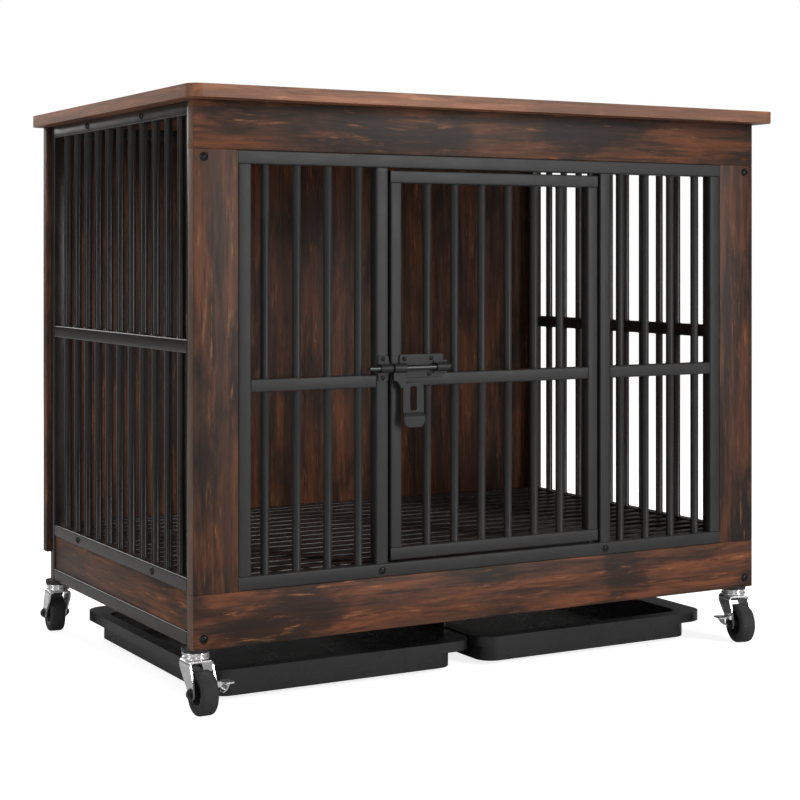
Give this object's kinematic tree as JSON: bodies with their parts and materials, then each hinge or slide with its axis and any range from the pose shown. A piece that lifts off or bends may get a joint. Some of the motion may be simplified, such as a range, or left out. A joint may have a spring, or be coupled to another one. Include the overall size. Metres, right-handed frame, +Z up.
{
  "type": "dog crate",
  "caption": "Furniture-style dog crate: board top and panels, barred steel sides, a hinged barred door with a slide latch, pull-out litter trays and swivel casters.",
  "frame": {"origin": "on the floor, under the middle of the crate's outline", "axes": "+Z up; +X to the right of a person facing the door; -Y out of the door"},
  "size_m": [0.83, 0.5744, 0.701],
  "materials": {
    "board_wood": "rustic brown wood-look board, satin",
    "top_wood": "rustic brown wood-look top, satin",
    "front_steel": "matte charcoal powder coat",
    "side_steel": "matte black powder coat",
    "black_hardware": "satin black",
    "tray_plastic": "satin black moulded plastic",
    "chrome": "bright plated",
    "tyre_rubber": "matte",
    "hub_plastic": "satin black"
  },
  "bodies": {
    "crate": {"tabletop": "top_wood", "front_header_board": "board_wood", "front_left_post": "board_wood", "front_right_post": "board_wood", "front_bottom_board": "board_wood", "left_kick_board": "board_wood", "right_kick_board": "board_wood", "back_panel": "board_wood", "front_top_rail": "front_steel", "front_bottom_rail": "front_steel", "front_stiles": "front_steel", "front_mullions": "front_steel", "front_mid_rails": "front_steel", "front_bars": "front_steel", "left_side_rails": "side_steel", "left_side_stiles": "side_steel", "left_side_bars": "side_steel", "right_side_rails": "side_steel", "right_side_stiles": "side_steel", "right_side_bars": "side_steel", "back_rails": "side_steel", "floor_bearers": "side_steel", "floor_slats": "side_steel", "tray_hanger": "side_steel", "tray_arms": "side_steel", "panel_bolts": "black_hardware", "frame_bolts": "black_hardware", "stem_plugs": "hub_plastic", "caster_stems": "black_hardware", "latch_keeper": "black_hardware", "keeper_screws": "black_hardware"},
    "door": {"door_rails": "front_steel", "door_stiles": "front_steel", "door_bars": "front_steel", "hinge_pins": "black_hardware", "latch_plate": "black_hardware", "latch_guide": "black_hardware", "latch_screws": "black_hardware"},
    "latch_bolt": {"latch_bolt": "black_hardware"},
    "hasp": {"hasp": "black_hardware"},
    "left_tray": {"left_tray": "tray_plastic"},
    "right_tray": {"right_tray": "tray_plastic"},
    "front_left_swivel": {"front_left_fork": "chrome", "front_left_axle": "black_hardware"},
    "front_left_wheel": {"front_left_hub": "hub_plastic", "front_left_tyre": "tyre_rubber"},
    "front_left_pedal": {"front_left_pedal": "chrome"},
    "front_right_swivel": {"front_right_fork": "chrome", "front_right_axle": "black_hardware"},
    "front_right_wheel": {"front_right_hub": "hub_plastic", "front_right_tyre": "tyre_rubber"},
    "front_right_pedal": {"front_right_pedal": "chrome"},
    "back_left_swivel": {"back_left_fork": "chrome", "back_left_axle": "black_hardware"},
    "back_left_wheel": {"back_left_hub": "hub_plastic", "back_left_tyre": "tyre_rubber"},
    "back_right_swivel": {"back_right_fork": "chrome", "back_right_axle": "black_hardware"},
    "back_right_wheel": {"back_right_hub": "hub_plastic", "back_right_tyre": "tyre_rubber"}
  },
  "joints": [
    {"name": "door_hinge", "type": "hinge", "parent": "crate", "child": "door", "pos_m": [0.142, -0.2535, 0.383], "axis": [0, 0, 1], "range_deg": [0, 100]},
    {"name": "latch_slide", "type": "slide", "parent": "door", "child": "latch_bolt", "axis": [1, 0, 0], "range_m": [0, 0.034]},
    {"name": "hasp_swing", "type": "hinge", "parent": "latch_bolt", "child": "hasp", "pos_m": [-0.142, -0.2695, 0.3795], "axis": [-1, 0, 0], "range_deg": [0, 150]},
    {"name": "left_tray_slide", "type": "slide", "parent": "crate", "child": "left_tray", "axis": [-1, 0, 0], "range_m": [0, 0.43]},
    {"name": "right_tray_slide", "type": "slide", "parent": "crate", "child": "right_tray", "axis": [1, 0, 0], "range_m": [0, 0.43]},
    {"name": "front_left_swivel", "type": "hinge", "parent": "crate", "child": "front_left_swivel", "pos_m": [-0.387, -0.2385, 0.061], "axis": [0, 0, 1], "continuous": true},
    {"name": "front_left_roll", "type": "hinge", "parent": "front_left_swivel", "child": "front_left_wheel", "pos_m": [-0.387, -0.2585, 0.025], "axis": [1, 0, 0], "continuous": true},
    {"name": "front_left_brake", "type": "hinge", "parent": "front_left_swivel", "child": "front_left_pedal", "pos_m": [-0.3693, -0.2585, 0.034], "axis": [0, 1, 0], "range_deg": [0, 12]},
    {"name": "front_right_swivel", "type": "hinge", "parent": "crate", "child": "front_right_swivel", "pos_m": [0.387, -0.2385, 0.061], "axis": [0, 0, 1], "continuous": true},
    {"name": "front_right_roll", "type": "hinge", "parent": "front_right_swivel", "child": "front_right_wheel", "pos_m": [0.38284, -0.25806, 0.025], "axis": [0.9781, -0.2079, 0], "continuous": true},
    {"name": "front_right_brake", "type": "hinge", "parent": "front_right_swivel", "child": "front_right_pedal", "pos_m": [0.36553, -0.25438, 0.034], "axis": [-0.2079, -0.9781, 0], "range_deg": [0, 12]},
    {"name": "back_left_swivel", "type": "hinge", "parent": "crate", "child": "back_left_swivel", "pos_m": [-0.387, 0.2385, 0.061], "axis": [0, 0, 1], "continuous": true},
    {"name": "back_left_roll", "type": "hinge", "parent": "back_left_swivel", "child": "back_left_wheel", "pos_m": [-0.38491, 0.25839, 0.025], "axis": [-0.9945, 0.1045, 0], "continuous": true},
    {"name": "back_right_swivel", "type": "hinge", "parent": "crate", "child": "back_right_swivel", "pos_m": [0.387, 0.2385, 0.061], "axis": [0, 0, 1], "continuous": true},
    {"name": "back_right_roll", "type": "hinge", "parent": "back_right_swivel", "child": "back_right_wheel", "pos_m": [0.38491, 0.25839, 0.025], "axis": [-0.9945, -0.1045, 0], "continuous": true}
  ]
}
